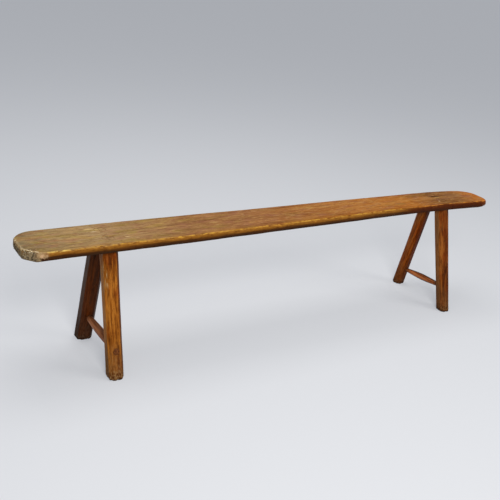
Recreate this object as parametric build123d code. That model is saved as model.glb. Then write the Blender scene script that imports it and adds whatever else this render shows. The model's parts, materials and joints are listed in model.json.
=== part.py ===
from build123d import *
import math
import os

os.makedirs("parts", exist_ok=True)

# A staked country bench: one plank seat, four splayed legs tenoned and wedged through it, and a
# whittled stretcher between the legs of each pair. Millimetres. X runs along the seat, the front
# is -Y, the floor is Z = 0, and X = 0 is half way along the plank.

# Seat
seat_height = 446.0
seat_thickness = 29.5
seat_length = 1955.0
top_arris_radius = 7.0
lower_arris_radius = 3.5
left_corner_radius = 12.0

# Legs
tenon_radius = 20.0
corner_softening = 3.0       # radius that wear has left on the chamfer's edges
foot_wear = 4.0              # bevel round the bottom of each foot

# Wedges
wedge_top_thickness = 5.0
wedge_point_thickness = 1.2
wedge_depth = 24.0

# Stretchers
spindle_sides = 8
spindle_shoulder = 0.05      # share of the span, from each leg's axis, where the whittling starts
spindle_swell = 1.0          # how much a quarter point is thicker than a straight taper

overlap = 1.0                # how far pieces of one solid run into each other before they are fused

seat_underside = seat_height - seat_thickness
seat_end = seat_length / 2

# Each leg: axis at the seat's underside and on the floor, width across the flats there, corner
# chamfer as a share of that width, and the turn of its section about its own axis.
leg_sizes = {
    "front_left": {"top": (-694, -41), "foot": (-696, -145), "widths": (52, 51), "corner": 0.21, "turn": 0},
    "back_left": {"top": (-694, 44), "foot": (-699, 145), "widths": (52, 53), "corner": 0.21, "turn": 0},
    "front_right": {"top": (749, -38), "foot": (764, -144), "widths": (50, 45), "corner": 0.23, "turn": -6},
    "back_right": {"top": (750, 44), "foot": (764, 142), "widths": (45, 44), "corner": 0.27, "turn": 8},
}

# Each stretcher: the height of its axis in the front and the back leg, its thickness at the two
# ends and in the middle, and how far its tenons go into the legs (None is right through).
stretcher_sizes = {
    "left": {"heights": (94, 99), "thickness": (21, 27, 17), "tenon": None},
    "right": {"heights": (97, 75), "thickness": (14, 24, 12), "tenon": 30.0},
}


def seat_outline():
    """The plank seen from above: left end square with a canted and a rounded corner, right end tapered."""
    left_front = (-seat_end, -56)
    left_back = (-seat_end, 26)
    cant_front = (-seat_end + 36, -92)
    round_back = (-seat_end + 72, 95.5)
    tip_round = (925, 55)
    tip_back = (seat_end, -10)
    tip_front = (seat_end, -46)
    front_round = (938, -84)
    back_corner = ThreePointArc(left_back, (-seat_end + 20, 71), round_back)
    tip_curve = TangentArc(tip_back, tip_round, tangent=(0, 1))
    tip_end = Line(tip_back, tip_front)
    tip_corner = TangentArc(tip_front, front_round, tangent=(0, -1))
    back_points = [
        round_back, (-760, 97.5), (-400, 94.5), (60, 87.5), (350, 85.5), (600, 81), (800, 73.5), tip_round,
    ]
    back_edge = Spline(back_points, tangents=[back_corner % 1, (tip_curve % 1) * -1])
    front_points = [front_round, (840, -76), (620, -69), (150, -76), (-450, -88), cant_front]
    front_edge = Spline(front_points, tangents=[tip_corner % 1, (-1, 0)])
    front_cant = Line(cant_front, left_front)
    left_end = Line(left_front, left_back)
    curves = [back_corner, back_edge, tip_curve, tip_end, tip_corner, front_edge, front_cant, left_end]
    outline = make_face(Wire(curves))
    sharp_corners = outline.vertices().sort_by(Axis.X)[:3]
    return fillet(sharp_corners, left_corner_radius)


def make_blank_seat():
    """The plank without its mortises, its arrises rounded by wear."""
    outline = seat_outline()
    plank = extrude(Pos(0, 0, seat_underside) * outline, amount=seat_thickness, dir=(0, 0, 1))
    plank = fillet(plank.faces().sort_by(Axis.Z)[-1].edges(), top_arris_radius)
    return fillet(plank.faces().sort_by(Axis.Z)[0].edges(), lower_arris_radius)


def leg_ends(size):
    """The leg's axis: its points on the floor and at the seat's underside."""
    foot = Vector(size["foot"][0], size["foot"][1], 0)
    top = Vector(size["top"][0], size["top"][1], seat_underside)
    return foot, top


def leg_plane(size, point):
    """A plane square to the leg's axis at a point on it, turned as the leg is."""
    foot, top = leg_ends(size)
    flat = Plane(origin=point, x_dir=(1, 0, 0), z_dir=top - foot)
    return flat.rotated((0, 0, size["turn"]))


def leg_section(size, width):
    """A square with canted corners."""
    square = Rectangle(width, width)
    return chamfer(square.vertices(), width * size["corner"])


def make_blank_leg(size):
    """The tapered shaft from the floor to the shoulder under the seat, with no tenon or mortise."""
    foot, top = leg_ends(size)
    top_width, foot_width = size["widths"]
    axis = (top - foot).normalized()
    taper = (top_width - foot_width) / (top - foot).length
    spare = top_width / 2
    low_section = leg_plane(size, foot - axis * spare) * leg_section(size, foot_width - taper * spare)
    high_section = leg_plane(size, top + axis * spare) * leg_section(size, top_width + taper * spare)
    shaft = loft([low_section, high_section], ruled=True)
    shaft &= slab_between(0, seat_underside)
    shaft = chamfer(shaft.faces().sort_by(Axis.Z)[0].edges(), foot_wear)
    long_edges = shaft.edges().filter_by(lambda edge: edge.length > seat_underside / 2)
    return fillet(long_edges, corner_softening)


def slab_between(low, high):
    """A block wider than the bench that spans two heights."""
    reach = seat_length * 2
    middle = (low + high) / 2
    return Pos(0, 0, middle) * Box(reach, reach, high - low)


def tenon_rod(size):
    """The round rod of a leg's tenon, longer than the seat is thick at both ends."""
    _, shoulder = leg_ends(size)
    rod_length = seat_thickness * 3
    return leg_plane(size, shoulder) * Cylinder(tenon_radius, rod_length)


def make_wedge(size):
    """The wedge that spreads a tenon across the plank's grain, filling its kerf."""
    half_top = wedge_top_thickness / 2
    half_point = wedge_point_thickness / 2
    profile = Polyline(
        (-half_top, 0), (half_top, 0), (half_point, -wedge_depth), (-half_point, -wedge_depth), close=True
    )
    foot, top = leg_ends(size)
    axis = (top - foot).normalized()
    head = top + axis * (seat_thickness / axis.Z)
    upright = Plane(origin=head, x_dir=(1, 0, 0), z_dir=(0, -1, 0))
    blade = extrude(upright * make_face(profile), amount=tenon_radius * 2, both=True)
    return blade & tenon_rod(size) & slab_between(0, seat_height)


def stretcher_line(side):
    """The stretcher's axis: its points on the axes of the front leg and the back leg."""
    points = []
    for place, height in zip(("front", "back"), stretcher_sizes[side]["heights"]):
        foot, top = leg_ends(leg_sizes[place + "_" + side])
        points.append(foot + (top - foot) * (height / seat_underside))
    return points


def make_tenons(side, blank_legs):
    """The round ends of a stretcher, as far as they go into the front and the back leg."""
    front, back = stretcher_line(side)
    front_thickness, _, back_thickness = stretcher_sizes[side]["thickness"]
    depth = stretcher_sizes[side]["tenon"]
    tenons = []
    for place, end, inward, thickness in (
        ("front_", front, (back - front).normalized(), front_thickness),
        ("back_", back, (front - back).normalized(), back_thickness),
    ):
        leg_width = leg_sizes[place + side]["widths"][1]
        past_axis = leg_width if depth is None else depth - leg_width / 2
        rod_length = past_axis + leg_width
        rod = Cylinder(thickness / 2, rod_length, align=(Align.CENTER, Align.CENTER, Align.MIN))
        rod = Plane(origin=end - inward * past_axis, z_dir=inward) * rod
        tenons.append(rod & blank_legs[place + side])
    return tenons


def make_spindle(side, blank_legs):
    """The whittled part of a stretcher that shows between its two legs."""
    front, back = stretcher_line(side)
    span = back - front
    front_thickness, middle_thickness, back_thickness = stretcher_sizes[side]["thickness"]
    stations = {
        spindle_shoulder: front_thickness,
        0.25: (front_thickness + middle_thickness) / 2 + spindle_swell,
        0.5: middle_thickness,
        0.75: (back_thickness + middle_thickness) / 2 + spindle_swell,
        1 - spindle_shoulder: back_thickness,
    }
    sections = []
    for share, thickness in stations.items():
        plane = Plane(origin=front + span * share, x_dir=(1, 0, 0), z_dir=span)
        corner_radius = thickness / 2 / math.cos(math.pi / spindle_sides)
        sections.append(plane * RegularPolygon(corner_radius, spindle_sides, rotation=180 / spindle_sides))
    body = loft(sections)
    return body - blank_legs["front_" + side] - blank_legs["back_" + side]


def write_part(name, solid):
    solid.label = name
    export_step(solid, "parts/" + name + ".step")
    print(name, "volume", round(solid.volume), "mm3")


blank_legs = {name: make_blank_leg(size) for name, size in leg_sizes.items()}
seat = make_blank_seat()
legs = {}

for name, size in leg_sizes.items():
    rod = tenon_rod(size)
    wedge = make_wedge(size)
    tenon = rod & slab_between(seat_underside - overlap, seat_height)
    legs[name] = blank_legs[name] + tenon - wedge
    seat -= rod
    write_part(name + "_wedge", wedge)

for side in stretcher_sizes:
    front_tenon, back_tenon = make_tenons(side, blank_legs)
    stretcher = make_spindle(side, blank_legs) + front_tenon + back_tenon
    legs["front_" + side] -= front_tenon
    legs["back_" + side] -= back_tenon
    write_part(side + "_stretcher", stretcher)

for name, leg in legs.items():
    write_part(name + "_leg", leg)
write_part("seat_plank", seat)
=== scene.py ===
import cmath
import json
import math
import bmesh
import bpy
import numpy as np
from mathutils import Matrix, Vector


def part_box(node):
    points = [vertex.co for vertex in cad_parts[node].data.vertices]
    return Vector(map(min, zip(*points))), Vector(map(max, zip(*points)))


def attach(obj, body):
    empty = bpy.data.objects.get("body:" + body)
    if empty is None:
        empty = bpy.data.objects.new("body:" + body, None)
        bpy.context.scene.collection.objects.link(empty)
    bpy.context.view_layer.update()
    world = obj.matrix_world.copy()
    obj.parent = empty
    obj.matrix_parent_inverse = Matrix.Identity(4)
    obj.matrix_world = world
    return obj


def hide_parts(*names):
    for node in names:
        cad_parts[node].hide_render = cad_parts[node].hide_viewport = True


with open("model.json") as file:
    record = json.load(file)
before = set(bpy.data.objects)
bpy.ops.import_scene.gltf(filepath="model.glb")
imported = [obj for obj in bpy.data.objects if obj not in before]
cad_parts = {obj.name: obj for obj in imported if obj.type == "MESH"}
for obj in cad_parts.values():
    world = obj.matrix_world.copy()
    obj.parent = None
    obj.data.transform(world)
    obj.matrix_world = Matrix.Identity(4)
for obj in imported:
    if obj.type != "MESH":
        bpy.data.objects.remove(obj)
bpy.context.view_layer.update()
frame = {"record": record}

mm = 0.001
mounts = {mount["name"]: Vector(mount["pos_m"]) for mount in frame["record"]["mounts"]}
seatLow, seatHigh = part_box("seat_plank")
seatTop = seatHigh.z
seatUnderside = seatLow.z


# Small helpers for modelling

def startFresh():
    if bpy.context.object and bpy.context.object.mode != "OBJECT":
        bpy.ops.object.mode_set(mode="OBJECT")
    bpy.ops.object.select_all(action="DESELECT")


def takeUp(piece):
    startFresh()
    piece.select_set(True)
    bpy.context.view_layer.objects.active = piece


def callIt(name):
    piece = bpy.context.object
    piece.name = name
    piece.data.name = name
    return piece


def editMesh(piece):
    takeUp(piece)
    bpy.ops.object.mode_set(mode="EDIT")


def leaveMesh():
    bpy.ops.object.mode_set(mode="OBJECT")


def pickAll():
    bpy.ops.mesh.select_all(action="SELECT")


def pick(piece, kind, test):            # kind is VERT, EDGE or FACE
    mesh = bmesh.from_edit_mesh(piece.data)
    bpy.ops.mesh.select_mode(type=kind)
    bpy.ops.mesh.select_all(action="DESELECT")
    parts = {"VERT": mesh.verts, "EDGE": mesh.edges, "FACE": mesh.faces}[kind]
    for part in parts:
        if test(part):
            part.select_set(True)
    bmesh.update_edit_mesh(piece.data)


def addModifier(piece, kind, **settings):
    takeUp(piece)
    bpy.ops.object.modifier_add(type=kind)
    modifier = piece.modifiers[-1]
    for name, value in settings.items():
        setattr(modifier, name, value)
    bpy.ops.object.modifier_apply(modifier=modifier.name)


def remesh(piece, voxel):
    addModifier(piece, "REMESH", mode="VOXEL", voxel_size=voxel, use_smooth_shade=True)


def pointsOf(piece):
    points = np.zeros(len(piece.data.vertices) * 3)
    piece.data.vertices.foreach_get("co", points)
    return points.reshape(-1, 3)


def movePoints(piece, points):
    piece.data.vertices.foreach_set("co", points.ravel())
    piece.data.update()


def keepInside(piece, node):            # wear never makes a piece larger than its node
    low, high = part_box(node)
    movePoints(piece, np.clip(pointsOf(piece), low, high))


def roughen(piece, size, depth, stretch=(1, 1, 1), turned=None, where=None, seed=0, level=0.5):
    # waves of one size; stretch draws them out along the grain, and a level near 1 only takes wood away
    texture = bpy.data.textures.new("waves", "CLOUDS")
    texture.noise_scale = 1.0
    texture.noise_depth = 1
    bpy.ops.object.empty_add(location=(0.37 * seed, 0.61 * seed, 0.23 * seed))
    grid = bpy.context.object
    grid.scale = [size * share for share in stretch]
    if turned is not None:
        grid.rotation_euler = turned
    bpy.context.view_layer.update()
    before = pointsOf(piece)
    addModifier(
        piece, "DISPLACE", texture=texture, texture_coords="OBJECT", texture_coords_object=grid,
        strength=depth, mid_level=level,
    )
    if where:                           # a formula that gives each point its share of the waves
        share = np.clip(where(before), 0, 1)[:, None]
        movePoints(piece, before + (pointsOf(piece) - before) * share)
    bpy.data.objects.remove(grid)
    bpy.data.textures.remove(texture)


def dent(piece, marks, stain=True):     # each mark is a soft thumb print: its place, radii and push
    points = pointsOf(piece)
    total = np.zeros(len(points))
    for place, radii, push in marks:
        away = np.linalg.norm((points - np.array(place)) / np.array(radii), axis=1)
        share = np.clip(1 - away, 0, 1)
        share = share * share * (3 - 2 * share)
        points += share[:, None] * np.array(push)
        total = np.maximum(total, share)
    movePoints(piece, points)
    if stain:                           # the paint reads how deep each dent is
        damage = piece.data.attributes.new("damage", "FLOAT", "POINT")
        damage.data.foreach_set("value", total)


def combine(piece, operation, tool):    # UNION, DIFFERENCE or INTERSECT, and the tool is thrown away
    addModifier(piece, "BOOLEAN", operation=operation, object=tool, solver="EXACT")
    bpy.data.objects.remove(tool)


def copyOf(piece, name):
    other = piece.copy()
    other.data = piece.data.copy()
    other.name = name
    bpy.context.scene.collection.objects.link(other)
    return other


def joinAll(pieces):
    startFresh()
    for piece in pieces:
        piece.select_set(True)
    bpy.context.view_layer.objects.active = pieces[0]
    bpy.ops.object.join()
    return pieces[0]


def trim(piece, place, outward):        # saws off what lies on the outward side of a plane
    editMesh(piece)
    pickAll()
    bpy.ops.mesh.bisect(plane_co=place, plane_no=outward, clear_outer=True, use_fill=True)
    leaveMesh()


def putAlong(piece, place, turned):     # stands an upright piece on its own axis, and bakes its place in
    piece.matrix_world = Matrix.Translation(place) @ turned.to_4x4()
    takeUp(piece)
    bpy.ops.object.transform_apply(location=True, rotation=True, scale=True)


# Leg axes: from the foot's mount to the middle of the wedge in its tenon

legs = {                                # widths in mm at the seat and on the floor, turns in degrees
    "front_left": {"widths": (52, 51), "corner": 0.21, "turn": 0, "worn": 1.0},
    "back_left": {"widths": (52, 53), "corner": 0.21, "turn": 0, "worn": 0.35},
    "front_right": {"widths": (50, 45), "corner": 0.23, "turn": -6, "worn": 0.5},
    "back_right": {"widths": (45, 44), "corner": 0.27, "turn": 8, "worn": 0.5},
}
tenonRadius = 20 * mm


def turnedTo(axis):                     # turns an upright piece to an axis, its x side near world x
    across = Vector((1, 0, 0))
    across = (across - axis * across.dot(axis)).normalized()
    return Matrix((across, axis.cross(across), axis)).transposed()


for name, leg in legs.items():
    wedgeLow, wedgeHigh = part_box(name + "_wedge")
    leg["foot"] = mounts[name + "_foot"]
    leg["axis"] = ((wedgeLow + wedgeHigh) / 2 - leg["foot"]).normalized()
    leg["turned"] = turnedTo(leg["axis"]) @ Matrix.Rotation(math.radians(leg["turn"]), 3, "Z")


def onAxis(leg, height):                # the point of a leg's axis at a height above the floor
    return leg["foot"] + leg["axis"] * (height / leg["axis"].z)


# Seat plank

diagonal = 0.7071
plank = {                                # in mm, but for the angles and the lean
    "front": [(-941.5, -92), (-450, -88), (150, -76), (620, -69), (840, -76), (938, -84)],
    "back": [
        (-905.5, 95.5), (-760, 97.5), (-400, 94.5), (60, 87.5), (350, 85.5), (600, 81), (800, 73.5),
        (880, 64.5), (925, 55),
    ],
    "leftEnd": (-56, 26),                # the straight part of the left end
    "backRound": (-957.5, 71),           # a point that the round back corner passes through
    "cant": (-959.5, -74),               # a point low on the left cant's face
    "cantHeight": 6, "cantLean": 0.4,   # its height above the underside, and how far the face leans in
    "tip": (-46, -10),                   # the straight part of the right end
    "tipRadii": (38, 66.5),              # the radius of its front and its back corner
    "tipAngles": ((-60, -35, -12, 0), (0, 15, 30, 45, 60)),
    "roundFrom": 915, "roundFade": 40,   # where the tip's edge starts to be half round, and how fast
    "corner": 5, "topArris": 7, "lowerArris": 3.5, "voxel": 3.4,
}
plankEnd = seatHigh.x
cantLine = -sum(plank["cant"]) * mm      # what -x - y is on the left cant's face, low down


def smoothLine(points, x):              # a smooth curve through points with rising x
    xs, ys = np.array(points, float).T
    slopes = np.gradient(ys, xs)
    at = int(np.clip(np.searchsorted(xs, x) - 1, 0, len(xs) - 2))
    step = xs[at + 1] - xs[at]
    share = (x - xs[at]) / step
    rise = ys[at + 1] - ys[at]
    first, second = slopes[at] * step - rise, rise - slopes[at + 1] * step
    return ys[at] + share * rise + share * (1 - share) * ((1 - share) * first + share * second)


def arcThrough(first, middle, last, count):    # points inside the arc, without its two ends
    a, b, c = (complex(*spot) for spot in (first, middle, last))
    bend = (c - a) / (b - a)
    centre = a + (b - a) * (bend - abs(bend) ** 2) / (2j * bend.imag)
    turn = cmath.phase((c - centre) / (a - centre)) / (count + 1)
    spots = [centre + (a - centre) * cmath.exp(1j * turn * (step + 1)) for step in range(count)]
    return [(spot.real, spot.imag) for spot in spots]


def plankOutline():
    halfLength = plankEnd / mm
    front, back = plank["front"], plank["back"]
    spots = [(-halfLength, plank["leftEnd"][0])]
    spots += [(x, smoothLine(front, x)) for x in np.linspace(front[0][0], front[-1][0], 40)]
    for middle, radius, angles in zip(plank["tip"], plank["tipRadii"], plank["tipAngles"]):
        for angle in angles:
            turn = math.radians(angle)
            spots.append((halfLength + radius * (math.cos(turn) - 1), middle + radius * math.sin(turn)))
    spots += [(x, smoothLine(back, x)) for x in np.linspace(back[-1][0], back[0][0], 40)]
    leftBack = (-halfLength, plank["leftEnd"][1])
    spots += arcThrough(back[0], plank["backRound"], leftBack, 9)
    spots.append(leftBack)
    return [(x * mm, y * mm) for x, y in spots]


def addPlank():
    spots = plankOutline()
    startFresh()
    bpy.ops.mesh.primitive_circle_add(vertices=len(spots), fill_type="NGON", location=(0, 0, 0))
    piece = callIt("seatPlank")
    for vertex, (x, y) in zip(piece.data.vertices, spots):
        vertex.co = (x, y, seatUnderside)
    editMesh(piece)
    corners = [Vector((x, y, seatUnderside)) for x, y in (spots[0], spots[1], spots[-1])]
    pick(piece, "VERT", lambda vertex: min((vertex.co - corner).length for corner in corners) < mm)
    bpy.ops.mesh.bevel(offset=plank["corner"] * mm, segments=4, affect="VERTICES")
    pickAll()
    bpy.ops.mesh.extrude_region_move(TRANSFORM_OT_translate={"value": (0, 0, seatTop - seatUnderside)})
    pickAll()
    bpy.ops.mesh.normals_make_consistent(inside=False)
    arrises = ((seatTop, plank["topArris"], 4), (seatUnderside, plank["lowerArris"], 2))
    for height, width, segments in arrises:
        pick(piece, "EDGE", lambda edge: all(abs(vertex.co.z - height) < mm for vertex in edge.verts))
        bpy.ops.mesh.bevel(offset=width * mm, segments=segments, clamp_overlap=False)
    leaveMesh()
    x, y = plank["cant"]
    lowPoint = Vector((x * mm, y * mm, seatUnderside + plank["cantHeight"] * mm))
    trim(piece, lowPoint, Vector((-diagonal, -diagonal, plank["cantLean"])).normalized())
    remesh(piece, plank["voxel"] * mm)
    addModifier(piece, "SMOOTH", factor=0.5, iterations=2)
    return piece


def roundTip(piece):                    # handling has made the edge of the tip half round
    points = pointsOf(piece)
    near = points[:, 0] > plank["roundFrom"] * mm
    spots = np.array(plankOutline())
    along = np.roll(spots, -1, axis=0) - spots
    inwards = np.stack((-along[:, 1], along[:, 0]), 1) / np.linalg.norm(along, axis=1)[:, None]
    away = points[near, None, :2] - spots
    share = np.clip((away * along).sum(2) / (along ** 2).sum(1), 0, 1)
    away -= share[..., None] * along
    nearest = (away ** 2).sum(2).argmin(1)
    inward = inwards[nearest]
    depth = (away[np.arange(len(nearest)), nearest] * inward).sum(1)
    radius = (seatTop - seatUnderside) / 2
    across = depth - radius
    rise = points[near, 2] - (seatTop + seatUnderside) / 2
    reach = np.hypot(across, rise)
    shrink = np.where((across < 0) & (reach > radius), radius / reach, 1) - 1
    shrink *= np.clip((points[near, 0] / mm - plank["roundFrom"]) / plank["roundFade"], 0, 1)
    points[near, :2] += inward * (across * shrink)[:, None]
    points[near, 2] += rise * shrink
    movePoints(piece, points)


# Wear on the plank: sags in its top, raised grain, broken end grain and a bruised front arris

def towardsLeftEnd(points):             # how far a point is out towards the left end or its cant, in metres
    x, y, z = points.T
    rise = z - seatUnderside - plank["cantHeight"] * mm
    cant = (-x - y - cantLine) / math.sqrt(2) + plank["cantLean"] * rise
    return np.maximum(-plankEnd - x, cant)


def onEndGrain(points):
    return (towardsLeftEnd(points) + 7 * mm) / (5 * mm)


def belowTop(points):
    return (seatTop - 3 * mm - points[:, 2]) / (6 * mm)


def onTop(points):                      # fades out round the tenons, which stay level with the top
    share = np.ones(len(points))
    for leg in legs.values():
        middle = onAxis(leg, seatTop)
        away = np.hypot(points[:, 0] - middle.x, points[:, 1] - middle.y)
        share = np.minimum(share, (away - 24 * mm) / (26 * mm))
    return share


def onFrontArris(points):
    fromEdge = points[:, 1] - np.interp(points[:, 0] / mm, *np.array(plank["front"]).T) * mm
    return np.minimum((8 * mm - fromEdge) / (5 * mm), (points[:, 2] - seatTop + 12 * mm) / (6 * mm))


plankWaves = [                           # size, depth in mm, stretch, where, and level
    (0.07, 1.8, (4, 1, 1), onTop, 0.7),
    (0.014, 0.5, (7, 1, 1), onTop, 0.7),
    (0.016, 1.2, (5, 1, 1), belowTop, 0.7),
    (0.012, 2.2, (2.5, 1, 1), onFrontArris, 0.8),
    (0.011, 2.8, (1, 1, 1.6), onEndGrain, 0.8),
    (0.0035, 1.8, (1, 1, 2), onEndGrain, 0.75),
]


def wearPlank(piece):
    editMesh(piece)
    pick(piece, "FACE", lambda face: towardsLeftEnd(np.array([face.calc_center_median()]))[0] > -5 * mm)
    bpy.ops.mesh.subdivide(number_cuts=2)
    pick(piece, "FACE", lambda face: face.normal.y < -0.35 and face.normal.z > -0.2)
    bpy.ops.mesh.subdivide(number_cuts=1)
    leaveMesh()
    for index, (size, depth, stretch, where, level) in enumerate(plankWaves):
        roughen(piece, size, depth * mm, stretch=stretch, where=where, seed=index + 1, level=level)


seat = addPlank()
roundTip(seat)
wearPlank(seat)
print("plank modelled:", len(seat.data.polygons), "faces")


# Legs

softening = 1.6 * mm                     # what wear has taken off the chamfers' edges


def addBox(name, size):
    startFresh()
    bpy.ops.mesh.primitive_cube_add(size=1, location=(0, 0, 0))
    piece = callIt(name)
    piece.scale = size
    bpy.ops.object.transform_apply(scale=True)
    return piece


def addShaft(name, leg):
    topWidth, footWidth = (width * mm for width in leg["widths"])
    spare = 30 * mm
    length = seatUnderside / leg["axis"].z
    taper = (topWidth - footWidth) / length
    piece = addBox(name, (footWidth, footWidth, length + 2 * spare))
    editMesh(piece)
    for offset, segments in ((leg["corner"] * footWidth, 1), (softening, 2)):
        pick(piece, "EDGE", lambda edge: abs(edge.verts[0].co.z - edge.verts[1].co.z) > length / 2)
        bpy.ops.mesh.bevel(offset=offset, segments=segments)
    for end, width in ((-1, footWidth - taper * spare), (1, topWidth + taper * spare)):
        pick(piece, "FACE", lambda face: face.normal.z * end > 0.9)
        share = width / footWidth
        bpy.ops.transform.resize(value=(share, share, 1), center_override=(0, 0, 0))
    leaveMesh()
    putAlong(piece, onAxis(leg, seatUnderside / 2), leg["turned"])
    trim(piece, (0, 0, seatUnderside), (0, 0, 1))
    trim(piece, (0, 0, 0), (0, 0, -1))
    editMesh(piece)
    pick(piece, "FACE", lambda face: face.normal.z < -0.9)
    bpy.ops.mesh.bevel(offset=(1 + 3 * leg["worn"]) * mm, segments=2)
    leaveMesh()
    return piece


def addTenon(leg, name, radius, low, high):
    startFresh()
    bpy.ops.mesh.primitive_cylinder_add(vertices=64, radius=radius, depth=(high - low) + 40 * mm)
    piece = callIt(name)
    putAlong(piece, onAxis(leg, (low + high) / 2), leg["turned"])
    trim(piece, (0, 0, high), (0, 0, 1))
    trim(piece, (0, 0, low), (0, 0, -1))
    return piece


wedge = {"top": 5, "point": 1.2, "depth": 24, "gap": 0.2}    # in mm


def addBlade(leg, name, spare):         # spare makes the kerf's tool a little thicker than the wedge
    piece = addBox(name, (wedge["top"] * mm + spare, 4 * tenonRadius, wedge["depth"] * mm))
    editMesh(piece)
    pick(piece, "FACE", lambda face: face.normal.z < -0.9)
    bpy.ops.transform.resize(value=(wedge["point"] / wedge["top"], 1, 1), center_override=(0, 0, 0))
    leaveMesh()
    putAlong(piece, onAxis(leg, seatTop) - Vector((0, 0, wedge["depth"] * mm / 2)), Matrix.Identity(3))
    return piece


def pieceName(node):                    # front_left and leg make frontLeftLeg
    first, *rest = node.split("_")
    return first + "".join(word.title() for word in rest)


for name, leg in legs.items():
    piece = addShaft(pieceName(name + "_leg"), leg)
    tenon = addTenon(leg, "tenon", tenonRadius, seatUnderside - 20 * mm, seatTop)
    combine(piece, "UNION", tenon)
    combine(piece, "DIFFERENCE", addBlade(leg, "kerf tool", wedge["gap"] * mm))
    leg["piece"] = piece

    blade = addBlade(leg, pieceName(name + "_wedge"), 0)
    rod = addTenon(leg, "round tool", tenonRadius - 0.3 * mm, seatUnderside - 5 * mm, seatTop)
    combine(blade, "INTERSECT", rod)
    addModifier(blade, "BEVEL", width=0.4 * mm, segments=2, limit_method="ANGLE")
    leg["wedge"] = blade
print("leg shafts, tenons and wedges modelled")


# Stretchers: heights in the front and the back leg, and thickness in front, middle and back, in mm

# rims is how strongly shade is painted on each stretcher's top and bottom facets
stretchers = {
    "left": {"heights": (94, 99), "thickness": (21, 27, 17), "tenon": None, "scuff": 0.8, "rims": 0.5},
    "right": {"heights": (97, 75), "thickness": (14, 24, 12), "tenon": 30, "scuff": 0.0, "rims": 0.85},
}
halfLeg = 24 * mm                        # about half a leg's thickness


def addSpindle(side, facts, span):      # eight flats along its length, each ring sized to its station
    first, middle, last = facts["thickness"]
    stations = [
        (0.05, first), (0.25, (first + middle) / 2 + 1), (0.5, middle), (0.75, (last + middle) / 2 + 1),
        (0.95, last),
    ]
    startFresh()
    bpy.ops.mesh.primitive_cylinder_add(vertices=8, radius=0.5, depth=span * 0.9)
    body = callIt(side + "Stretcher")
    editMesh(body)
    pickAll()
    bpy.ops.transform.rotate(value=math.radians(22.5), orient_axis="Z", center_override=(0, 0, 0))
    for share in (0.15, 0.25, 0.36, 0.5, 0.64, 0.75, 0.85):
        pickAll()
        bpy.ops.mesh.bisect(plane_co=(0, 0, (share - 0.5) * span), plane_no=(0, 0, 1))
    heights = sorted({round(vertex.co.z, 5) for vertex in bmesh.from_edit_mesh(body.data).verts})
    for height in heights:
        wide = smoothLine(stations, height / span + 0.5) * mm / math.cos(math.pi / 8)
        pick(body, "VERT", lambda vertex: abs(vertex.co.z - height) < mm)
        bpy.ops.transform.resize(value=(wide, wide, 1), center_override=(0, 0, height))
    leaveMesh()
    return body


def addRod(end, inward, reach, thickness, turned):
    startFresh()
    bpy.ops.mesh.primitive_cylinder_add(vertices=48, radius=thickness / 2, depth=reach[0] + reach[1])
    rod = callIt("rod")
    putAlong(rod, end + inward * (reach[1] - reach[0]) / 2, turned)
    return rod


for side, facts in stretchers.items():
    ends = []
    for place, height, thickness in zip(("front_", "back_"), facts["heights"], facts["thickness"][::2]):
        leg = legs[place + side]
        ends.append((leg, onAxis(leg, height * mm), thickness * mm))
    front, back = ends[0][1], ends[1][1]
    along = (back - front).normalized()
    span = (back - front).length
    turned = turnedTo(along)
    body = addSpindle(side, facts, span)
    putAlong(body, (front + back) / 2, turned)
    rods = []
    for (leg, end, thickness), inward in zip(ends, (along, -along)):
        width = leg["widths"][1] * mm
        through = facts["tenon"] is None
        pastAxis = width if through else facts["tenon"] * mm - width / 2
        rod = addRod(end, inward, (pastAxis, 0.09 * span), thickness, turned)
        combine(leg["piece"], "DIFFERENCE", copyOf(rod, "mortise tool"))
        combine(leg["piece"], "DIFFERENCE", copyOf(body, "shoulder tool"))
        if through:                     # its end shows on the leg's outer face, sawn off level with it
            outward = leg["turned"] @ Vector((0, -1 if inward.y > 0 else 1, 0))
            trim(rod, leg["foot"] + outward * (width / 2 - 0.3 * mm), outward)
        rods.append(rod)
    piece = joinAll([body] + rods)
    remesh(piece, 1.0 * mm)
    euler = turned.to_euler()
    roughen(piece, 0.012, 1.0 * mm, stretch=(1, 1, 6), turned=euler, seed=60 + len(side))
    roughen(piece, 0.004, 0.4 * mm, stretch=(1, 1, 12), turned=euler, seed=70 + len(side))
    keepInside(piece, side + "_stretcher")
    facts.update(piece=piece, turned=turned, middle=(front + back) / 2, reach=span / 2 + halfLeg)
    print(side, "stretcher modelled:", len(piece.data.polygons), "faces")


# Wear on the legs: hewn hollows, raised grain, and feet broken by damp and knocks

def onShaft(points):
    return (seatUnderside - 8 * mm - points[:, 2]) / (10 * mm)


def nearFoot(points):
    return (26 * mm - points[:, 2]) / (24 * mm)


def brokenFoot(leg, seed):              # splinters lost from the edge of the sole
    random = np.random.default_rng(seed)
    worn = leg["worn"]
    reach = leg["widths"][1] * mm / 2
    marks = []
    for step in range(9):
        angle = (step + random.uniform(-0.3, 0.3)) / 9 * 2 * math.pi
        way = Vector((math.cos(angle), math.sin(angle), 0))
        place = leg["foot"] + way * reach * random.uniform(0.92, 1.15)
        size = random.uniform(5, 10) * mm
        push = way * -random.uniform(0.5, 2.0) * mm + Vector((0, 0, random.uniform(0.8, 3.0) * mm))
        push *= worn
        marks.append((place, (size, size, size * 1.2), push))
    return marks


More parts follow.
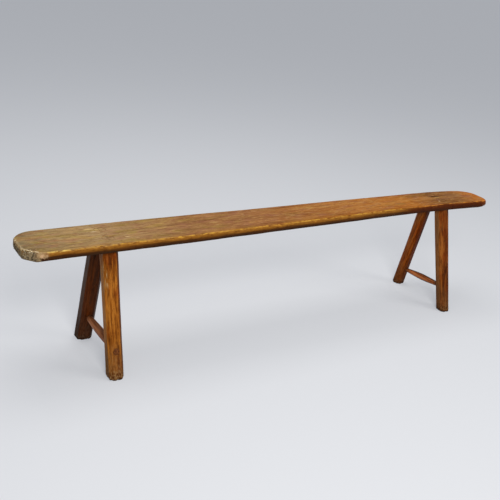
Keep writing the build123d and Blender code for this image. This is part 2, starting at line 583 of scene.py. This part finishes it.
for index, (name, leg) in enumerate(legs.items()):
    piece = leg["piece"]
    remesh(piece, 1.7 * mm)
    addModifier(piece, "SMOOTH", factor=0.5, iterations=1)
    turned = leg["turned"].to_euler()
    seed = 10 * (index + 1)
    roughen(piece, 0.045, 1.8 * mm, stretch=(1, 1, 4), turned=turned, where=onShaft, seed=seed + 1)
    roughen(piece, 0.009, 0.9 * mm, stretch=(1, 1, 14), turned=turned, where=onShaft, seed=seed + 2)
    roughen(piece, 0.014, 3.0 * mm * leg["worn"], where=nearFoot, seed=seed + 3)
    dent(piece, brokenFoot(leg, seed))
    keepInside(piece, name + "_leg")
    print(name, "leg modelled:", len(piece.data.polygons), "faces")


# Mortises in the seat, a little wider than the tenons that stand in them

mortiseGap = 0.2 * mm
mortiseTools = [
    addTenon(leg, "mortise tool", tenonRadius + mortiseGap, seatUnderside - 20 * mm, seatTop + 20 * mm)
    for leg in legs.values()
]
combine(seat, "DIFFERENCE", joinAll(mortiseTools))

chips = [                                # place, radii and push in mm
    ((-869, -92, 446), (12, 7, 6), (0, 3, -2.2)),
    ((-857, -91, 446), (8, 6, 6), (0, 2.6, -2)),
    ((-757, -90, 446), (16, 9, 6), (0, 3, -2)),
    ((-735, -90, 444), (10, 8, 7), (0, 3.4, -1.6)),
    ((-712, -84, 446), (22, 10, 6), (0, 1, -2.2)),
    ((-452, -88, 445), (14, 6, 6), (0, 2.2, -1.8)),
    ((-318, -86, 446), (20, 6, 6), (0, 2, -1.6)),
    ((-120, -82, 445), (12, 6, 7), (0, 2.4, -1.6)),
    ((215, -75, 445), (18, 6, 6), (0, 2, -1.6)),
    ((488, -71, 445), (24, 7, 8), (0, 2.4, -1.8)),
    ((880, -80, 445), (12, 7, 6), (0, 2.2, -1.8)),
    ((-640, 96.5, 446), (20, 7, 6), (0, -2.4, -1.8)),
    ((-180, 91.5, 446), (14, 6, 6), (0, -2.2, -1.8)),
    ((445, 83.5, 446), (24, 7, 6), (0, -2.2, -1.8)),
    ((747, 16.5, 446), (33, 4.5, 6), (0, 0, -3.4)),
]


def brokenEnd():                        # crumbs lost from the rim of the left end and its cant
    random = np.random.default_rng(8)
    front, back = (edge * mm for edge in plank["leftEnd"])
    cantSize = 36 * mm
    onEach = 17
    marks = []
    for step in range(2 * onEach):
        share = random.uniform(0, 1)
        if step < onEach:
            x, y = -plankEnd, back - (back - front) * share
            inward = Vector((1, 0, 0))
        else:
            x, y = -plankEnd + cantSize * share, front - cantSize * share
            inward = Vector((0.7, 0.7, 0))
        size = random.uniform(5, 11) * mm
        push = inward * random.uniform(0.4, 2.2) * mm - Vector((0, 0, random.uniform(0.6, 2.6) * mm))
        marks.append(((x, y, seatTop - random.uniform(0, 5) * mm), (size, size, size), push))
    return marks


bruisedCorner = ((-926, -97, 446), (34, 20, 18), (0, 6, -6))
dent(seat, [np.array(bruisedCorner) * mm], stain=False)
dent(seat, list(np.array(chips) * mm) + brokenEnd())
keepInside(seat, "seat_plank")

seatPoints = pointsOf(seat)              # how far each point lies behind the front edge, for the paint
frontEdge = np.interp(seatPoints[:, 0] / mm, *np.array(plank["front"]).T) * mm
behindEdge = seat.data.attributes.new("behindEdge", "FLOAT", "POINT")
behindEdge.data.foreach_set("value", seatPoints[:, 1] - frontEdge)


# Shader maths: a wrapped socket takes + - * and / with other sockets or numbers

class Value:
    def __init__(self, recipe, socket):
        self.recipe = recipe
        self.socket = socket

    def joined(self, operation, first, second):
        return self.recipe.node("Math", {"operation": operation}, {0: first, 1: second})

    def __add__(self, other):
        return self.joined("ADD", self, other)

    def __sub__(self, other):
        return self.joined("SUBTRACT", self, other)

    def __rsub__(self, other):
        return self.joined("SUBTRACT", other, self)

    def __mul__(self, other):
        return self.joined("MULTIPLY", self, other)

    def __truediv__(self, other):
        return self.joined("DIVIDE", self, other)

    __radd__ = __add__
    __rmul__ = __mul__


class Recipe:                           # one material and the nodes in it
    def __init__(self, name):
        self.material = bpy.data.materials.new(name)
        self.material.use_nodes = True
        self.tree = self.material.node_tree
        self.tree.nodes.clear()

    def node(self, kind, settings=None, inputs=None, output=0):
        made = self.tree.nodes.new("ShaderNode" + kind)
        for name, value in (settings or {}).items():
            if name == "stops":
                self.fillRamp(made.color_ramp, value)
            else:
                setattr(made, name, value)
        for name, value in (inputs or {}).items():
            if isinstance(value, Value):
                self.tree.links.new(value.socket, made.inputs[name])
            else:
                made.inputs[name].default_value = value
        return Value(self, made.outputs[output])

    def fillRamp(self, ramp, stops):
        while len(ramp.elements) > 1:
            ramp.elements.remove(ramp.elements[-1])
        for index, (place, colour) in enumerate(stops):
            stop = ramp.elements[0] if index == 0 else ramp.elements.new(place)
            stop.position = place
            stop.color = colour if len(colour) == 4 else (*colour, 1)

    def mix(self, share, first, second, blend="MIX"):
        settings = {"data_type": "RGBA", "blend_type": blend, "clamp_factor": True}
        return self.node("Mix", settings, {0: share, 6: first, 7: second}, output=2)    # its colour sockets

    def steps(self, value, low, high, lowResult=0.0, highResult=1.0):
        settings = {"interpolation_type": "SMOOTHSTEP", "clamp": True}
        places = {0: value, 1: low, 2: high, 3: lowResult, 4: highResult}
        return self.node("MapRange", settings, places)

    def tools(self):
        return self.mix, self.darken, self.steps, self.noise

    def axes(self, vector):
        made = self.tree.nodes.new("ShaderNodeSeparateXYZ")
        self.tree.links.new(vector.socket, made.inputs[0])
        return [Value(self, socket) for socket in made.outputs]

    def noise(self, vector, stretch, detail=2.0, rough=0.5, at=(0, 0, 0)):
        scaled = self.node("Mapping", {}, {"Vector": vector, "Scale": stretch, "Location": at})
        inputs = {"Vector": scaled, "Scale": 1.0, "Detail": detail, "Roughness": rough}
        return self.node("TexNoise", {}, inputs)

    def spot(self, x, y, middle, size):     # a soft oval, 1 in its middle and 0 outside
        acrossX = (x - middle[0] * mm) / (size[0] * mm)
        acrossY = (y - middle[1] * mm) / (size[1] * mm)
        return self.steps(acrossX * acrossX + acrossY * acrossY, 1.0, 0.15)

    def darken(self, share, colour, tint):
        return self.mix(share, colour, (*tint, 1), "MULTIPLY")

    def finish(self, colour, roughness, height, depth, gloss=0.16):
        bump = self.node("Bump", {}, {"Height": height, "Distance": depth, "Strength": 1.0})
        shader = self.node("BsdfPrincipled", {}, {
            "Base Color": colour, "Roughness": roughness, "Normal": bump,
            "Specular IOR Level": gloss, "Specular Tint": (1.0, 0.82, 0.62, 1),
        })
        return self.show(shader)

    def show(self, shader):
        output = self.tree.nodes.new("ShaderNodeOutputMaterial")
        self.tree.links.new(shader.socket, output.inputs[0])
        return self.material


def tone(red, green, blue):             # an 8-bit screen colour as the linear colour that the shader wants
    shares = [value / 255 for value in (red, green, blue)]
    linear = [value / 12.92 if value < 0.04045 else ((value + 0.055) / 1.055) ** 2.4 for value in shares]
    return (*linear, 1)


def dressIn(piece, material):
    piece.data.materials.clear()
    piece.data.materials.append(material)


topLooks = {
    "along": [                           # the seat's colour from its left end to its tip
        (0.0, (126, 110, 80)), (0.03, (146, 125, 88)), (0.09, (163, 135, 94)), (0.13, (165, 137, 98)),
        (0.21, (156, 122, 81)), (0.31, (149, 106, 63)), (0.42, (152, 102, 60)), (0.55, (158, 100, 43)),
        (0.67, (172, 110, 46)), (0.8, (176, 108, 31)), (0.88, (124, 79, 32)), (0.93, (135, 85, 33)),
        (0.97, (172, 102, 36)), (1.0, (194, 112, 34)),
    ],
    "marks": [                           # stains, bruises and bright scratches: place, size, colour, share
        ((-728, 53), (20, 6), (210, 180, 118), 0.8), ((-700, 45), (20, 5), (206, 176, 116), 0.75),
        ((-716, 30), (12, 4), (196, 172, 140), 0.8), ((-629, -38), (11, 2.5), (212, 184, 140), 0.75),
        ((-712, -76), (16, 7), (120, 88, 52), 0.5), ((-760, 40), (30, 9), (150, 128, 74), 0.5),
        ((733, 22), (22, 7), (50, 28, 10), 0.9), ((760, 16), (26, 5), (50, 28, 10), 0.9),
        ((779, -76), (9, 3), (204, 158, 110), 0.6),
        ((700, 10), (60, 26), (182, 124, 62), 0.35), ((850, 10), (60, 26), (134, 92, 58), 0.4),
        ((540, -20), (30, 10), (140, 112, 50), 0.4), ((505, 20), (36, 5), (160, 92, 64), 0.45),
        ((905, 12), (16, 9), (176, 100, 44), 0.5), ((-905, -40), (40, 16), (130, 104, 82), 0.5),
    ],
}


def wornTop(recipe, place):             # the colour of the seat's top, also on the tenons that end in it
    mix, darken, steps, noise = recipe.tools()
    x, y = recipe.axes(place)[:2]
    stops = [(share, tone(*colour)) for share, colour in topLooks["along"]]
    colour = recipe.node("ValToRGB", {"stops": stops}, {0: (x + plankEnd) / (2 * plankEnd)})
    bands = noise(place, (3.4, 30, 30), detail=3, at=(5, 7, 0))
    mauve = noise(place, (13, 38, 38), detail=4, rough=0.62, at=(3, 1, 0))
    olive = noise(place, (11, 34, 34), detail=4, rough=0.62, at=(9, 4, 2))
    lines = noise(place, (7, 150, 150), detail=5, rough=0.7, at=(2, 2, 5))
    streaks = noise(place, (26, 170, 170), detail=4, rough=0.66)
    fine = noise(place, (60, 420, 420), detail=3, rough=0.6)
    scratches = noise(place, (36, 260, 260), detail=2, at=(0, 3, 8))
    leftShare = steps(x, -0.1, -0.6)
    colour = darken(steps(bands, 0.5, 0.62) * 0.55, colour, (0.76, 0.7, 0.6))
    colour = mix(steps(bands, 0.46, 0.34) * 0.34, colour, tone(188, 138, 74))
    colour = mix(steps(mauve, 0.5, 0.64) * 0.5, colour, tone(150, 98, 74))
    colour = mix(steps(olive, 0.51, 0.64) * (leftShare * 0.3 + 0.2), colour, tone(158, 134, 56))
    colour = darken(steps(lines, 0.5, 0.64) * 0.75, colour, (0.66, 0.57, 0.46))
    colour = mix(steps(lines, 0.46, 0.34) * 0.4, colour, tone(196, 152, 90))
    colour = darken(steps(streaks, 0.52, 0.64) * 0.8, colour, (0.7, 0.61, 0.5))
    colour = mix(steps(streaks, 0.46, 0.36) * 0.4, colour, tone(196, 152, 90))
    colour = darken(steps(fine, 0.52, 0.64) * 0.8, colour, (0.62, 0.52, 0.44))
    colour = mix(steps(scratches, 0.66, 0.74) * 0.5, colour, tone(214, 180, 130))
    for middle, size, shade, share in topLooks["marks"]:
        mark = recipe.spot(x, y, middle, size) * steps(streaks, 0.35, 0.5, 0.5, 1.0)
        colour = mix(mark * share, colour, tone(*shade))
    return colour, streaks, fine


sideLooks = {
    # the front side from its underside (0) to its top (1): darker low down, partly dirt and partly painted
    # shade
    "ramp": [
        (0.0, (40, 23, 12)), (0.34, (62, 33, 8)), (0.5, (96, 56, 14)), (0.64, (134, 86, 26)),
        (0.8, (148, 98, 34)), (1.0, (160, 110, 44)),
    ],
    "rightRamp": [(0.0, (46, 18, 1)), (0.5, (72, 28, 1)), (0.82, (92, 38, 2)), (1.0, (124, 66, 18))],
    # arris and rightArris are partly worn wood and partly painted highlight
    "arris": tone(188, 142, 54), "rightArris": tone(180, 116, 40), "bruise": tone(184, 150, 116),
    "end": tone(124, 109, 84), "endDark": tone(64, 54, 41), "endPale": tone(224, 208, 176),
    "rim": tone(168, 146, 108), "under": tone(104, 78, 54), "underDark": tone(72, 52, 36),
    "tip": (0.925, 0.955),               # where the tip's own tones begin and are full
}


def seatWood():
    recipe = Recipe("seatWood")
    mix, darken, steps, noise = recipe.tools()
    place = recipe.node("TexCoord", output="Object")
    x, y, z = recipe.axes(place)
    normal = recipe.node("NewGeometry", output="Normal")
    normalY, normalZ = recipe.axes(normal)[1:]
    damage = recipe.node("Attribute", {"attribute_name": "damage"}, output="Fac")
    behindEdge = recipe.node("Attribute", {"attribute_name": "behindEdge"}, output="Fac")
    colour, streaks, fine = wornTop(recipe, place)
    rubbed = steps(behindEdge + (streaks - 0.5) * 0.03, 0.036, 0.004)
    rubbed = rubbed * steps(x, -0.5, 0.2, 0.5, 1.0) * steps(x, 0.66, 0.46, 0.25, 1.0)
    colour = darken(rubbed, colour, (0.8, 0.68, 0.34))

    sideStreaks = noise(place, (9, 150, 150), detail=4, rough=0.62, at=(1, 5, 2))
    flecks = noise(place, (60, 170, 170), detail=3, rough=0.6, at=(7, 0, 1))
    knocks = noise(place, (30, 70, 70), detail=3, rough=0.6, at=(4, 6, 1))
    # the front side darkens towards the underside: partly dirt, partly painted shade
    heightShare = (z - seatUnderside) / (seatTop - seatUnderside) + (sideStreaks - 0.5) * 0.7
    ramps = []
    for key in ("ramp", "rightRamp"):
        stops = [(share, tone(*shade)) for share, shade in sideLooks[key]]
        ramps.append(recipe.node("ValToRGB", {"stops": stops}, {0: heightShare}))
    rightShare = steps(x + (flecks - 0.5) * 0.2, 0.46, 0.6)
    side = mix(rightShare, *ramps)
    side = mix(steps(x + (flecks - 0.5) * 0.05, *sideLooks["tip"]) * 0.5, side, tone(132, 64, 10))
    side = darken(steps(sideStreaks, 0.52, 0.66) * 0.6, side, (0.66, 0.56, 0.44))
    # painted highlights: bright flecks on the upper part of the front side
    sideHighlights = steps(flecks, 0.56, 0.68) * steps(heightShare, 0.5, 0.85) * (rightShare * -0.4 + 0.55)
    side = mix(sideHighlights, side, tone(196, 134, 48))
    side = darken(steps(flecks, 0.44, 0.34) * 0.6, side, (0.5, 0.4, 0.3))
    side = darken(steps(knocks, 0.54, 0.64) * 0.6, side, (0.66, 0.56, 0.4))
    colour = mix(steps(normalZ, 0.86, 0.55), colour, side)

    # the top arris is painted lighter: partly worn wood, partly painted highlight
    arris = steps(normalZ, 0.97, 0.88) * steps(normalZ, 0.45, 0.75)
    arrisTone = mix(rightShare, sideLooks["arris"], sideLooks["rightArris"])
    arrisTone = mix(steps(x, -0.72, -0.76) * 0.7, arrisTone, tone(156, 116, 54))
    arrisTone = mix(steps(x, -0.82, -0.86), arrisTone, tone(218, 186, 98))
    arrisTone = darken(steps(knocks, 0.5, 0.6) * 0.8, arrisTone, (0.62, 0.5, 0.36))
    # painted light and shade: the tip is lighter where it faces the front and darker where it faces back
    tipTone = mix(steps(normalY, -0.1, 0.2), tone(206, 124, 44), tone(118, 78, 42))
    arrisTone = mix(steps(x, *sideLooks["tip"]), arrisTone, tipTone)
    colour = mix(arris * steps(flecks, 0.44, 0.58, 0.05, 0.95), colour, arrisTone)
    colour = darken(arris * steps(flecks, 0.46, 0.34) * 0.8, colour, (0.5, 0.38, 0.24))
    colour = darken(damage * steps(flecks, 0.35, 0.6, 1.0, 0.3), colour, (0.42, 0.32, 0.24))

    rise = z - seatUnderside - plank["cantHeight"] * mm
    cant = (x * -1 - y - cantLine) * diagonal + rise * plank["cantLean"]
    towards = recipe.node("Math", {"operation": "MAXIMUM"}, {0: x * -1 - plankEnd, 1: cant})
    cracks = noise(place, (150, 150, 90), detail=3, rough=0.65)
    crumbs = noise(place, (190, 190, 190), detail=3, rough=0.6, at=(2, 2, 2))
    endColour = mix(steps(cracks, 0.46, 0.58), sideLooks["end"], sideLooks["endDark"])
    endColour = mix(steps(crumbs, 0.54, 0.61) * 0.7, endColour, tone(160, 142, 112))
    endColour = darken(steps(z, seatUnderside + 9 * mm, seatUnderside), endColour, (0.62, 0.56, 0.54))
    edgeWear = steps(towards + (crumbs - 0.5) * 0.018, -0.015, -0.005)
    colour = mix(edgeWear * steps(cracks, 0.35, 0.6, 0.9, 0.35), colour, sideLooks["rim"])
    endMask = steps(towards + (crumbs - 0.5) * 0.008, -0.0055, -0.0015) * steps(normalZ, 0.9, 0.7)
    colour = mix(endMask, colour, endColour)
    rimHeight = steps(z, seatTop - 7 * mm, seatTop - 3 * mm) * steps(towards, -0.013, -0.009)
    specks = steps(crumbs, 0.5, 0.56) * steps(y, -0.035, -0.065, 0.3, 1.0)
    colour = mix(rimHeight * specks, colour, sideLooks["endPale"])
    colour = darken(rimHeight * steps(crumbs, 0.46, 0.4) * 0.8, colour, (0.52, 0.44, 0.36))
    ragged = (crumbs - 0.5) * 0.03
    corner = steps(x + ragged, -0.896, -0.916) * steps(x + ragged, -0.95, -0.934)
    corner = corner * steps(z + ragged, seatUnderside + 8 * mm, seatUnderside + 15 * mm)
    corner = corner * steps(normalY, -0.12, -0.45)
    colour = mix(corner * 0.75, colour, tone(150, 122, 88))
    bright = recipe.spot(x + ragged * 0.5, z + ragged * 0.3, (-919, 433), (14, 8))
    bright = bright * steps(normalY, -0.2, -0.6)
    colour = mix(bright * steps(cracks, 0.62, 0.45, 0.1, 0.9), colour, sideLooks["bruise"])

    under = steps(normalZ, -0.5, -0.85)
    underColour = mix(steps(streaks, 0.4, 0.6), sideLooks["under"], sideLooks["underDark"])
    colour = mix(under, colour, underColour)

    roughness = steps(streaks, 0.3, 0.7, 0.44, 0.6) + under * 0.25 + endMask * 0.25 + damage * 0.2
    height = streaks * 0.5 + fine * 0.3 + cracks * endMask * 1.5
    return recipe.finish(colour, roughness, height, 0.0009, gloss=0.11)


legLooks = {                            # for the front left, back left, front right and back right leg
    # the back left leg's darker tones are partly its own colour and partly painted shade
    "main": [(138, 76, 16), (68, 31, 6), (116, 55, 8), (146, 70, 12)],
    "light": [(186, 118, 42), (94, 46, 14), (168, 100, 40), (172, 96, 34)],
    "dark": [(78, 36, 6), (48, 23, 8), (60, 24, 2), (62, 24, 3)],
    "red": [(148, 60, 8), (88, 36, 5), (130, 48, 2), (130, 46, 1)],
    # flank: the tone painted on faces turned towards -x, as painted light and shade
    "flank": [(176, 112, 40), (78, 49, 28), (150, 98, 50), (112, 70, 38)],
    "edge": [(128, 90, 52), (78, 50, 32), (124, 84, 48), (112, 70, 38)],
    "foot": [(134, 104, 66), (80, 64, 48), (116, 80, 46), (100, 70, 42)],
    # how strong each effect is, and where the pith lies
    "leftFaceLight": [0.8, 0.8, 0.7, 0.3],
    "flecks": [0.8, 0.0, 0.2, 0.0],
    "pith": [None, None, (-15, -7), None],   # in mm from the tenon's middle
    "outline": [0.12, 0.12, 0.35, 0.55],
    # under: how strongly the seat's shadow is painted on the top of each leg
    "under": [0.62, 0.25, 0.1, 0.2],
    "low": [0.55, 0.35, 0.85, 0.35],
    # away: how strongly shade is painted on each leg's far side
    "away": [0.18, 0.0, 0.4, 1.0],
    "contrast": [0.62, 0.45, 0.75, 0.9],
}


def legWood(name, leg, looks, seed):
    recipe = Recipe(name)
    mix, darken, steps, noise = recipe.tools()
    tones = ("main", "light", "dark", "red", "flank", "edge", "foot")
    main, light, dark, red, flank, edge, foot = (tone(*looks[part]) for part in tones)
    world = recipe.node("TexCoord", output="Object")
    place = recipe.node("Mapping", {"vector_type": "TEXTURE"}, {
        "Vector": world, "Location": leg["foot"], "Rotation": leg["turned"].to_euler(),
    })
    u, v, height = recipe.axes(place)
    worldX, worldY, worldZ = recipe.axes(world)
    farX, farY = 0.835, 0.548            # (farX, -farY) is the camera's right in plan, the shaded side
    slope = leg["axis"] / leg["axis"].z
    footFar = leg["foot"].x * farX - leg["foot"].y * farY
    farFrom = worldZ * (slope.x * farX - slope.y * farY) + footFar      # the same sum on the leg's own axis
    normal = recipe.node("NewGeometry", output="Normal")
    normalX = recipe.axes(normal)[0]
    damage = recipe.node("Attribute", {"attribute_name": "damage"}, output="Fac")
    streaks = noise(place, (105, 105, 10), detail=4, rough=0.66, at=(seed, 0, 0))
    fine = noise(place, (300, 300, 34), detail=3, rough=0.62, at=(seed, 2, 0))
    threads = noise(place, (190, 190, 14), detail=2, rough=0.5, at=(seed, 0, 4))
    pores = noise(place, (240, 240, 80), detail=2, rough=0.6, at=(3, seed, 6))
    blotches = noise(place, (30, 30, 12), detail=3, rough=0.55, at=(0, seed, 0))
    colour = mix(steps(streaks, 0.36, 0.6), light, main)
    colour = mix(steps(blotches, 0.5, 0.66) * 0.5, colour, red)
    colour = darken(steps(blotches, 0.44, 0.32) * 0.3, colour, (0.74, 0.7, 0.66))
    darkGrain = steps(streaks, 0.53, 0.66) * (0.75 * looks["contrast"])
    colour = mix(darkGrain, colour, dark)
    darkThreads = steps(threads, 0.58, 0.66) * (0.8 * looks["contrast"])
    colour = mix(darkThreads, colour, dark)
    colour = darken(steps(fine, 0.5, 0.64) * 0.85, colour, (0.58, 0.5, 0.42))
    colour = mix(steps(fine, 0.44, 0.32) * 0.6, colour, light)
    colour = darken(steps(pores, 0.6, 0.68) * 0.75, colour, (0.46, 0.36, 0.28))
    # painted shade: faces that turn towards +x are darkened
    rightFaceShade = steps(normalX, 0.3, 0.68)
    colour = mix(rightFaceShade * 0.75, colour, dark)
    # painted light and shade: faces turned towards -x take the flank tone, for the light that falls on them
    leftSide = steps(normalX, -0.84, -0.96)
    flank = mix(steps(fine, 0.45, 0.65) * 0.6, flank, dark)
    colour = darken(steps(height, 0.26, 0.06) * looks["low"], colour, (0.66, 0.6, 0.52))
    # painted shade: the flank tone turns dark and bluish low down
    flank = darken(steps(height, 0.17, 0.05) * 0.8, flank, (0.36, 0.4, 0.6))
    colour = mix(leftSide * looks["leftFaceLight"], colour, flank)
    # painted shade: the part of each leg to the camera's right is darkened
    farSideShade = steps(worldX * farX - worldY * farY - farFrom, -8 * mm, 9 * mm)
    colour = darken(farSideShade * looks["away"], colour, (0.34, 0.24, 0.14))
    # painted shadow of the seat on the top of each leg
    colour = darken(steps(worldZ, 0.33, 0.41) * looks["under"], colour, (0.54, 0.38, 0.26))

    lowShare = steps(height + (blotches - 0.5) * 0.12, 0.13, 0.01)
    crumbs = noise(place, (210, 210, 120), detail=3, rough=0.62, at=(seed, 1, 1))
    colour = mix(lowShare * steps(fine, 0.3, 0.6, 0.75, 0.25), colour, edge)
    footMask = steps(height, 0.035, 0.008)
    footTone = mix(steps(crumbs, 0.44, 0.58), dark, foot)
    colour = mix(footMask * 0.8, colour, footTone)
    colour = darken(lowShare * steps(crumbs, 0.47, 0.38) * 0.7, colour, (0.5, 0.44, 0.36))
    colour = mix(lowShare * steps(crumbs, 0.55, 0.62) * 0.55, colour, foot)
    soles = steps(worldZ + (crumbs - 0.5) * 0.022, 0.007, 0.001)
    colour = mix(soles * 0.85, colour, tone(30, 22, 14))
    scratches = noise(place, (240, 240, 34), detail=2, at=(4, seed, 7))
    paleFlecks = steps(scratches, 0.57, 0.64) * steps(normalX, -0.4, -0.65)
    paleFlecks = paleFlecks * steps(height, 0.27, 0.33) * steps(height, 0.42, 0.38)
    colour = mix(paleFlecks * looks["flecks"], colour, tone(184, 148, 98))
    colour = darken(damage * steps(fine, 0.4, 0.6, 0.9, 0.2), colour, (0.45, 0.4, 0.34))

    seatColour = wornTop(recipe, world)[0]
    ringPitch = 2600                     # radians of the ring pattern in a metre
    pithX, pithY = looks["pith"] or (3, -5)
    awayX, awayY = u - pithX * mm, v - pithY * mm
    fromPith = recipe.node("Math", {"operation": "SQRT"}, {0: awayX * awayX + awayY * awayY})
    rings = recipe.node("Math", {"operation": "SINE"}, {0: fromPith * ringPitch + (blotches - 0.5) * 16})
    endColour = darken(steps(rings, -0.4, 0.9) * 0.5, seatColour, (0.72, 0.62, 0.52))
    if looks["pith"]:                   # only one tenon shows its pale pith
        endColour = mix(steps(fromPith, 0.0046, 0.002) * 0.9, endColour, tone(222, 190, 146))
    fromAxis = recipe.node("Math", {"operation": "SQRT"}, {0: u * u + v * v})
    outline = steps(fromAxis + (streaks - 0.5) * 0.004, 0.0182, 0.0194)
    endColour = darken(outline * looks["outline"], endColour, (0.3, 0.22, 0.16))
    tenonTop = steps(worldZ, seatTop - 4 * mm, seatTop - 2 * mm)
    colour = mix(tenonTop, colour, endColour)
    roughness = steps(blotches, 0.3, 0.7, 0.4, 0.56) + lowShare * 0.25
    return recipe.finish(colour, roughness, streaks * 0.4 + fine * 0.4 + threads * -0.3, 0.0011, gloss=0.09)


def stretcherWood(name, facts, looks, seed):
    recipe = Recipe(name)
    mix, darken, steps, noise = recipe.tools()
    world = recipe.node("TexCoord", output="Object")
    place = recipe.node("Mapping", {"vector_type": "TEXTURE"}, {
        "Vector": world, "Location": facts["middle"], "Rotation": facts["turned"].to_euler(),
    })
    normal = recipe.node("NewGeometry", output="Normal")
    normalZ = recipe.axes(normal)[2]
    streaks = noise(place, (170, 170, 12), detail=4, rough=0.62, at=(seed, 0, 0))
    fine = noise(place, (420, 420, 30), detail=3, rough=0.6, at=(seed, 1, 0))
    main, light, dark = (tone(*shade) for shade in looks)
    colour = mix(steps(streaks, 0.36, 0.6), light, main)
    colour = mix(steps(streaks, 0.56, 0.7) * 0.6, colour, dark)
    colour = darken(steps(fine, 0.52, 0.68) * 0.7, colour, (0.6, 0.5, 0.42))
    # painted shade: the top and the bottom facets are darkened, so that only the sides look lit
    colour = mix(steps(normalZ, 0.62, 0.88) * facts["rims"], colour, dark)
    colour = mix(steps(normalZ, -0.2, -0.6) * facts["rims"], colour, dark)
    along = recipe.axes(place)[2]
    visible = facts["reach"] - 2 * halfLeg
    # painted shade: each stretcher darkens towards the legs it runs into
    ends = steps(along * along, (visible * 0.62) ** 2, (visible * 1.0) ** 2)
    colour = mix(ends * 0.65, colour, dark)
    paleRing = steps(along + (streaks - 0.5) * 0.02, visible - 5 * mm, visible + 1 * mm) * facts["scuff"]
    colour = mix(paleRing * steps(fine, 0.4, 0.52), colour, tone(150, 128, 106))
    sawnEnd = steps(along * along, (facts["reach"] - 2 * mm) ** 2, facts["reach"] ** 2)
    colour = mix(sawnEnd, colour, mix(steps(fine, 0.42, 0.56), tone(122, 70, 32), tone(76, 38, 14)))
    roughness = steps(streaks, 0.3, 0.7, 0.42, 0.56)
    return recipe.finish(colour, roughness, streaks * 0.5 + fine * 0.4, 0.0009)


def wedgeWood():
    recipe = Recipe("wedgeWood")
    place = recipe.node("TexCoord", output="Object")
    colour = wornTop(recipe, place)[0]
    grain = recipe.noise(place, (500, 160, 40), detail=3)
    colour = recipe.darken(recipe.steps(grain, 0.35, 0.65) * 0.8, colour, (0.62, 0.52, 0.42))
    return recipe.finish(colour, 0.6, grain, 0.0004)


dressIn(seat, seatWood())
wedgePaint = wedgeWood()
for index, (name, leg) in enumerate(legs.items()):
    looks = {part: choices[index] for part, choices in legLooks.items()}
    dressIn(leg["piece"], legWood(name + "Wood", leg, looks, 3.7 * index))
    dressIn(leg["wedge"], wedgePaint)
stretcherLooks = {
    "left": ((150, 88, 54), (190, 124, 80), (62, 32, 16)),
    "right": ((152, 81, 37), (206, 124, 71), (52, 21, 5)),
}
for side, facts in stretchers.items():
    paint = stretcherWood(side + "StretcherWood", facts, stretcherLooks[side], 2.3 * len(side))
    dressIn(facts["piece"], paint)


# Every piece takes its CAD node's place

def standFor(piece, node):
    takeUp(piece)
    bpy.ops.object.shade_smooth_by_angle(angle=math.radians(40))
    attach(piece, "root")
    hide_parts(node)


standFor(seat, "seat_plank")
for name, leg in legs.items():
    standFor(leg["piece"], name + "_leg")
    standFor(leg["wedge"], name + "_wedge")
for side, facts in stretchers.items():
    standFor(facts["piece"], side + "_stretcher")
print("materials on")


# Floor, light and camera

def floorPaint():
    recipe = Recipe("floorPaint")
    plain = recipe.node("BsdfDiffuse", {}, {"Color": (0.42, 0.43, 0.45, 1)})
    glow = recipe.node("Emission", {}, {"Color": (0.8, 0.83, 0.9, 1), "Strength": 0.34})
    both = recipe.node("AddShader", {}, {0: plain, 1: glow})
    path = recipe.tree.nodes.new("ShaderNodeLightPath")
    kinds = ("Is Camera Ray", "Is Glossy Ray", "Is Transmission Ray")
    rays = [Value(recipe, path.outputs[kind]) for kind in kinds]
    seen = rays[0] + rays[1] + rays[2]
    shader = recipe.node("MixShader", {}, {0: seen, 1: plain, 2: both})
    return recipe.show(shader)


startFresh()
bpy.ops.mesh.primitive_plane_add(size=80, location=(0, 0, 0))
floor = callIt("studioFloor")
dressIn(floor, floorPaint())

lamps = {
    "frontKey": {"place": (-1.3, -3.0, 2.4), "size": 1.2, "power": 88, "colour": (1.0, 0.97, 0.92)},
    "rightFill": {"place": (2.6, -2.4, 2.2), "size": 1.6, "power": 34, "colour": (1.0, 0.96, 0.9)},
    "overhead": {"place": (0.0, 0.6, 3.4), "size": 2.4, "power": 52, "colour": (1.0, 0.98, 0.95)},
}
for name, facts in lamps.items():
    bpy.ops.object.light_add(type="AREA", location=facts["place"])
    lamp = callIt(name)
    lamp.data.size = facts["size"]
    lamp.data.energy = facts["power"]
    lamp.data.color = facts["colour"]
    lamp.rotation_euler = (Vector((0, 0, 0.3)) - Vector(facts["place"])).to_track_quat("-Z", "Y").to_euler()

world = bpy.data.worlds.new("studio")
bpy.context.scene.world = world
world.use_nodes = True
background = world.node_tree.nodes["Background"].inputs
background["Color"].default_value = (0.95, 0.97, 1.0, 1)
background["Strength"].default_value = 0.3

view = {
    "place": (-1.6262, -2.2758, 1.4388), "lens": 58.69,
    "yaw": 0.58128, "pitch": 0.38935, "roll": 0.11291,
}
bpy.ops.object.camera_add(location=view["place"])
camera = bpy.context.object
camera.data.lens = view["lens"]
camera.data.sensor_width = 36
aim = Matrix.Rotation(-view["yaw"], 3, "Z") @ Matrix.Rotation(math.pi / 2 - view["pitch"], 3, "X")
camera.rotation_euler = (aim @ Matrix.Rotation(view["roll"], 3, "Z")).to_euler()
bpy.context.scene.camera = camera
bpy.context.scene.view_settings.view_transform = "Standard"

print("scene ready")
